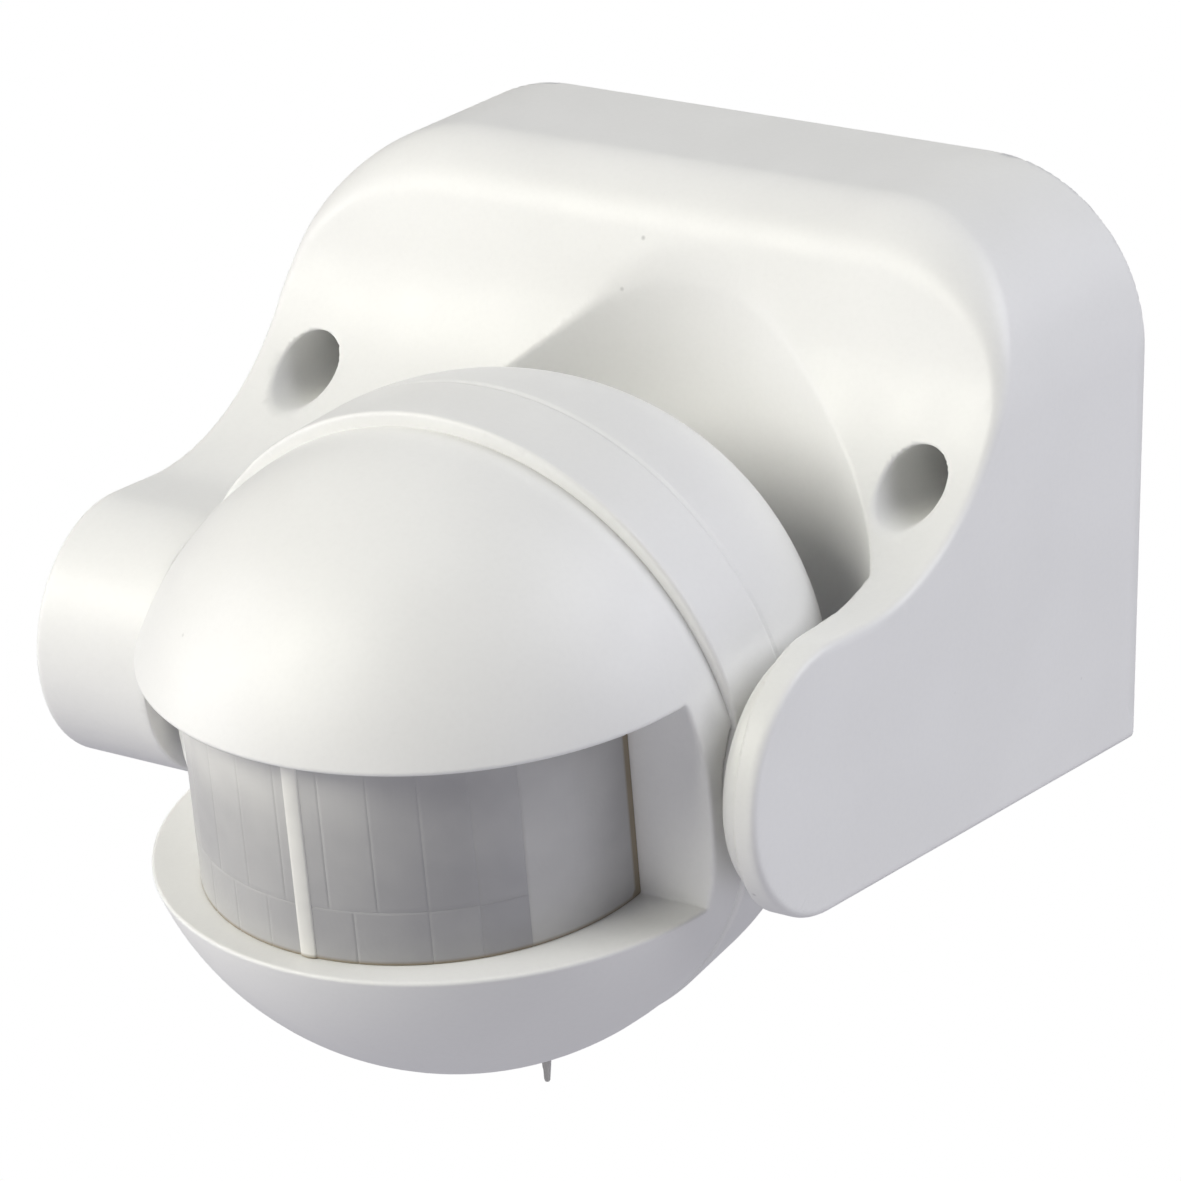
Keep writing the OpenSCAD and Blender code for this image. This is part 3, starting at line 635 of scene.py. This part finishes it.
def moulded_plastic(name, colour, roughness=0.42, grain=0.16, depth=0.004):
    """Satin moulded plastic: slow tone drift, fine grain, a few dust specks and scuffed gloss."""
    surface = Surface(name, roughness, Specular_IOR_Level=0.5)
    drift = surface.noise(14, 1)
    tone = surface.mottle(surface.fit(drift, 0.35, 0.65, 0, 1), colour, 0.985, 1.01)
    fine = surface.noise(grain * 3, 3)
    tone = surface.blend(surface.fit(fine, 0.4, 0.75, 0, 0.05), tone, tinted(colour, 0.7))
    tone = surface.blend(surface.specks(9, 0.034), tone, tinted(colour, 0.7))
    surface.colour(tone)
    scuffs = surface.noise(3.5, 4, (1, 0.35, 1))
    surface.roughness(surface.fit(scuffs, 0.3, 0.7, roughness - 0.05, roughness + 0.06))
    surface.bump(surface.noise(grain, 2), depth, 0.6)
    surface.bump(surface.noise(9, 1), 0.02, 0.25)
    return surface.material


def soft_rubber(name, colour, roughness=0.7):
    """Rubber or cable sheath: matt with a dusty bloom and a fine pitted skin."""
    surface = Surface(name, roughness, Specular_IOR_Level=0.3)
    bloom = surface.noise(2.5, 3)
    dusty = surface.fit(bloom, 0.45, 0.8, 0, 0.35)
    surface.colour(surface.blend(dusty, colour, tinted(colour, 2.2)))
    surface.roughness(surface.fit(bloom, 0.3, 0.7, roughness - 0.08, roughness + 0.08))
    surface.bump(surface.noise(0.12, 2), 0.01, 0.6)
    return surface.material


def worked_metal(name, colour, roughness=0.3):
    """Plated or turned metal: fine drawn lines, cloudy plating and tiny pits."""
    surface = Surface(name, roughness, Metallic=1.0)
    cloud = surface.noise(1.6, 3)
    surface.colour(surface.mottle(surface.fit(cloud, 0.3, 0.75, 0, 1), colour, 0.86, 1.06))
    lines = surface.noise(0.09, 2, (1, 0.12, 1))
    surface.roughness(surface.fit(lines, 0.3, 0.7, roughness - 0.08, roughness + 0.12))
    surface.bump(lines, 0.004, 0.5)
    return surface.material


def glossy_case(name, colour, roughness=0.22):
    """A potted or dipped part: glossy, with faint flow marks and handling haze."""
    surface = Surface(name, roughness, Coat_Weight=0.3, Coat_Roughness=0.12)
    flow = surface.noise(3, 3, (1, 1, 0.4))
    surface.colour(surface.mottle(surface.fit(flow, 0.3, 0.7, 0, 1), colour, 0.85, 1.12))
    haze = surface.noise(1.1, 3)
    surface.roughness(surface.fit(haze, 0.35, 0.7, roughness - 0.05, roughness + 0.15))
    surface.bump(flow, 0.02, 0.3)
    return surface.material


def board_laminate(name, colour):
    """A circuit board: solder mask over a faint glass weave, with raised copper runs under it."""
    surface = Surface(name, 0.3, Coat_Weight=0.25, Coat_Roughness=0.15)
    threads = [surface.node("ShaderNodeTexWave", {"Vector": surface.place, "Scale": 1 / (1.2 * MM)},
                            bands_direction=axis).outputs["Fac"] for axis in "XZ"]
    weave = surface.maths("MULTIPLY", *threads)
    inputs = {"Vector": surface.place, "Scale": 1 / (2.6 * MM), "Randomness": 0.35}
    cells = surface.node("ShaderNodeTexVoronoi", inputs, distance="MANHATTAN", feature="F1")
    runs = surface.fit(cells.outputs["Distance"], 0.42, 0.46, 0, 1)
    tone = surface.blend(surface.fit(weave, 0, 1, 0, 0.3), colour, tinted(colour, 0.7))
    surface.colour(surface.blend(surface.maths("MULTIPLY", runs, 0.45), tone, tinted(colour, 1.6)))
    surface.roughness(surface.fit(weave, 0, 1, 0.26, 0.36))
    surface.bump(runs, 0.035, 0.6)
    surface.bump(weave, 0.006, 0.4)
    return surface.material


def lens_film(name, colour):
    """Milky moulded film: facets of differing tone, partly painted light and shade, shallow Fresnel rings, and a
    painted warm shade line at the rim, where the gaps to the jamb, sill and brim lie in shade.
    """
    surface = Surface(name, 0.34, Specular_IOR_Level=0.5, Coat_Weight=0.15, Coat_Roughness=0.25)
    facet = surface.node("ShaderNodeAttribute", attribute_name="facet").outputs["Vector"]
    parts = surface.node("ShaderNodeSeparateXYZ", {0: facet})
    rim = surface.node("ShaderNodeAttribute", attribute_name="rim").outputs["Fac"]
    along, up, shade = parts.outputs
    cloud = surface.fit(surface.noise(5, 2), 0.3, 0.7, 0.95, 1.05)
    # The facets' painted light and shade run between a darker, slightly violet tint and a lighter, warm tint.
    level = surface.fit(surface.maths("MULTIPLY", shade, cloud), 0.6, 1.7, 0, 1)
    red, green, blue = colour
    dark = (0.6 * red, 0.6 * green, 0.65 * blue)
    light = (1.7 * red, 1.7 * green, 1.65 * blue)
    body = surface.blend(level, dark, light)
    # A painted warm shade line along the lens's ends, sill and brim, standing in for the shade in the narrow gaps
    # there.
    rim_shade = surface.fit(rim, 0.1, 0.45, 0.85, 0)
    surface.colour(surface.blend(rim_shade, body, (0.24, 0.19, 0.11)))
    offset = surface.node("ShaderNodeCombineXYZ", {0: along, 1: up}).outputs[0]
    radius = surface.node("ShaderNodeVectorMath", {0: offset}, operation="LENGTH").outputs["Value"]
    rings = surface.maths("SINE", surface.maths("MULTIPLY", radius, 2 * math.pi / RING_PITCH))
    surface.bump(rings, 0.004, 0.5)
    surface.roughness(surface.fit(surface.noise(2.2, 3), 0.3, 0.7, 0.3, 0.42))
    surface.bump(surface.noise(0.35, 2), 0.003, 0.5)
    return surface.material


# For each slot: how it is made, its colour (None takes the record's) and any other settings
LOOKS = {
    "white_plastic": (moulded_plastic, (0.84, 0.84, 0.832)),
    "base_plastic": (moulded_plastic, (0.74, 0.74, 0.72), 0.5, 0.22, 0.006),
    "knob_plastic": (moulded_plastic, (0.5, 0.49, 0.47), 0.4, 0.12, 0.003),
    "nut_plastic": (moulded_plastic, None, 0.45, 0.2, 0.008),
    "washer_nylon": (moulded_plastic, (0.68, 0.65, 0.54), 0.38, 0.12, 0.003),
    "pot_body": (moulded_plastic, None, 0.4, 0.14, 0.004),
    "lens_film": (lens_film, (0.478, 0.475, 0.466)),
    "board_laminate": (board_laminate, None),
    "screw_steel": (worked_metal, (0.62, 0.62, 0.64)),
    "terminal_brass": (worked_metal, (0.72, 0.52, 0.22), 0.26),
    "sensor_can": (worked_metal, (0.7, 0.68, 0.6), 0.22),
    "seal_rubber": (soft_rubber, None),
    "lead_sheath": (soft_rubber, None),
    "core_brown": (soft_rubber, None, 0.55),
    "core_blue": (soft_rubber, None, 0.55),
    "core_red": (soft_rubber, None, 0.55),
    "relay_case": (glossy_case, None),
    "film_case": (glossy_case, None),
    "capacitor_sleeve": (glossy_case, None),
    "varistor_coat": (glossy_case, None),
    "light_cell": (glossy_case, None),
    "led_red": (glossy_case, None),
}


def make_materials():
    base = {row["slot"]: tuple(row["base_color"][:3]) for row in frame["record"]["materials"]}
    return {slot: look(slot, colour or base[slot], *settings)
            for slot, (look, colour, *settings) in LOOKS.items()}


def dress(obj, material):
    obj.data.materials.clear()
    obj.data.materials.append(material)


# ---------- camera, light and floor ----------

scene = bpy.context.scene

# The photo's camera: turns in degrees and lengths in mm
CAMERA_YAW, CAMERA_PITCH, CAMERA_ROLL = 33.554, 18.744, -0.091
CAMERA_AIM = Vector((0, -40, 30 + BOTTOM))
CAMERA_BACK, CAMERA_RIGHT, CAMERA_UP = 539.79, 4.412, -10.888
CAMERA_LENS, CAMERA_SENSOR = 181.902, 36

# The floor, sky and lights: lengths in metres
FLOOR_DROP, FLOOR_RADIUS = 0.14, 3.0
SKY_COLOUR = (0.933, 0.922, 1, 1)
SKY_ABOVE, SKY_BELOW, SKY_BLEND = 0.084, 0.464, 0.35

# Each softbox: azimuth and elevation in degrees, size, power in watts and colour
SOFTBOXES = {
    "key": (-30, 33, 0.4, 3.96, (1, 0.993, 0.878)),
    "left": (-60, 15, 0.5, 2.56, (0.982, 0.963, 1)),
    "front": (10, -5, 0.5, 0.76, (1, 0.987, 0.998)),
    "side": (90, -20, 0.6, 0.58, (0.918, 0.923, 1)),
    "rim": (120, 40, 0.6, 4.43, (0.956, 0.962, 1)),
    "back": (180, 60, 0.8, 0.35, (0.994, 1, 0.974)),
}
SOFTBOX_AIM, SOFTBOX_DISTANCE = Vector((0, -0.045, 0)), 0.8


def toward(azimuth, elevation):
    """The direction at these degrees; azimuth 0 is straight ahead and 90 is in +x."""
    azimuth, elevation = math.radians(azimuth), math.radians(elevation)
    level = math.cos(elevation)
    return Vector((math.sin(azimuth) * level, -math.cos(azimuth) * level, math.sin(elevation)))


def make_camera():
    camera = bpy.data.objects.new("camera", bpy.data.cameras.new("camera"))
    scene.collection.objects.link(camera)
    yaw, roll = math.radians(CAMERA_YAW), math.radians(CAMERA_ROLL)
    right = Vector((math.cos(yaw), math.sin(yaw), 0))
    back = toward(CAMERA_YAW, CAMERA_PITCH)
    up = back.cross(right)
    place = CAMERA_AIM + back * CAMERA_BACK + right * CAMERA_RIGHT + up * CAMERA_UP
    right, up = (right * math.cos(roll) + up * math.sin(roll),
                 up * math.cos(roll) - right * math.sin(roll))
    camera.matrix_world = Matrix((
        (right.x, up.x, back.x, place.x * MM),
        (right.y, up.y, back.y, place.y * MM),
        (right.z, up.z, back.z, place.z * MM),
        (0, 0, 0, 1)))
    camera.data.sensor_width = CAMERA_SENSOR
    camera.data.lens = CAMERA_LENS
    camera.data.clip_start, camera.data.clip_end = 0.01, 50
    scene.camera = camera


def make_world():
    """A soft studio sky that is brighter below, as over a white table."""
    world = bpy.data.worlds.new("studio")
    scene.world = world
    world.use_nodes = True
    tree = world.node_tree
    tree.nodes["Background"].inputs["Color"].default_value = SKY_COLOUR
    direction = tree.nodes.new("ShaderNodeTexCoord")
    split = tree.nodes.new("ShaderNodeSeparateXYZ")
    height = tree.nodes.new("ShaderNodeMapRange")
    height.interpolation_type = "SMOOTHSTEP"
    height.inputs["From Min"].default_value = -SKY_BLEND
    height.inputs["From Max"].default_value = SKY_BLEND
    height.inputs["To Min"].default_value = SKY_BELOW
    height.inputs["To Max"].default_value = SKY_ABOVE
    tree.links.new(direction.outputs["Generated"], split.inputs[0])
    tree.links.new(split.outputs[2], height.inputs["Value"])
    tree.links.new(height.outputs["Result"], tree.nodes["Background"].inputs["Strength"])


def make_floor():
    """A plain white floor that shows only its upper side and sends no light back up."""
    tool = bmesh.new()
    bmesh.ops.create_circle(tool, cap_ends=True, radius=FLOOR_RADIUS, segments=96)
    mesh = bpy.data.meshes.new("floor")
    tool.to_mesh(mesh)
    tool.free()
    floor = bpy.data.objects.new("floor", mesh)
    scene.collection.objects.link(floor)
    floor.location.z = -FLOOR_DROP
    floor.visible_diffuse = False
    floor.visible_glossy = False
    floor.visible_shadow = False
    material = bpy.data.materials.new("floor_white")
    material.use_nodes = True
    tree = material.node_tree
    tree.nodes.clear()
    glow = tree.nodes.new("ShaderNodeEmission")
    clear = tree.nodes.new("ShaderNodeBsdfTransparent")
    side = tree.nodes.new("ShaderNodeNewGeometry")
    mix = tree.nodes.new("ShaderNodeMixShader")
    out = tree.nodes.new("ShaderNodeOutputMaterial")
    tree.links.new(side.outputs["Backfacing"], mix.inputs[0])
    tree.links.new(glow.outputs[0], mix.inputs[1])
    tree.links.new(clear.outputs[0], mix.inputs[2])
    tree.links.new(mix.outputs[0], out.inputs["Surface"])
    mesh.materials.append(material)


def add_softbox(name, azimuth, elevation, size, power, colour):
    """A square area light that looks at the object."""
    light = bpy.data.lights.new(name, "AREA")
    light.color = colour
    light.size = size
    light.energy = power
    obj = bpy.data.objects.new(name, light)
    scene.collection.objects.link(obj)
    away = toward(azimuth, elevation)
    obj.location = SOFTBOX_AIM + away * SOFTBOX_DISTANCE
    obj.rotation_euler = away.to_track_quat("Z", "Y").to_euler()


# ---------- the scene ----------

hood = make_hood()
rear_shell, front_shell = make_shells()
knobs = make_knobs()
lens = make_lens()

MATERIALS = make_materials()
for row in frame["record"]["subparts"]:
    dress(frame["nodes"][row["node"]], MATERIALS[row["material_slot"]])
for piece in (hood, rear_shell, front_shell):
    dress(piece, MATERIALS["white_plastic"])
for piece in knobs:
    dress(piece, MATERIALS["knob_plastic"])
dress(lens, MATERIALS["lens_film"])

scene.view_settings.view_transform = "Standard"
make_camera()
make_world()
make_floor()
for name, settings in SOFTBOXES.items():
    add_softbox(name, *settings)
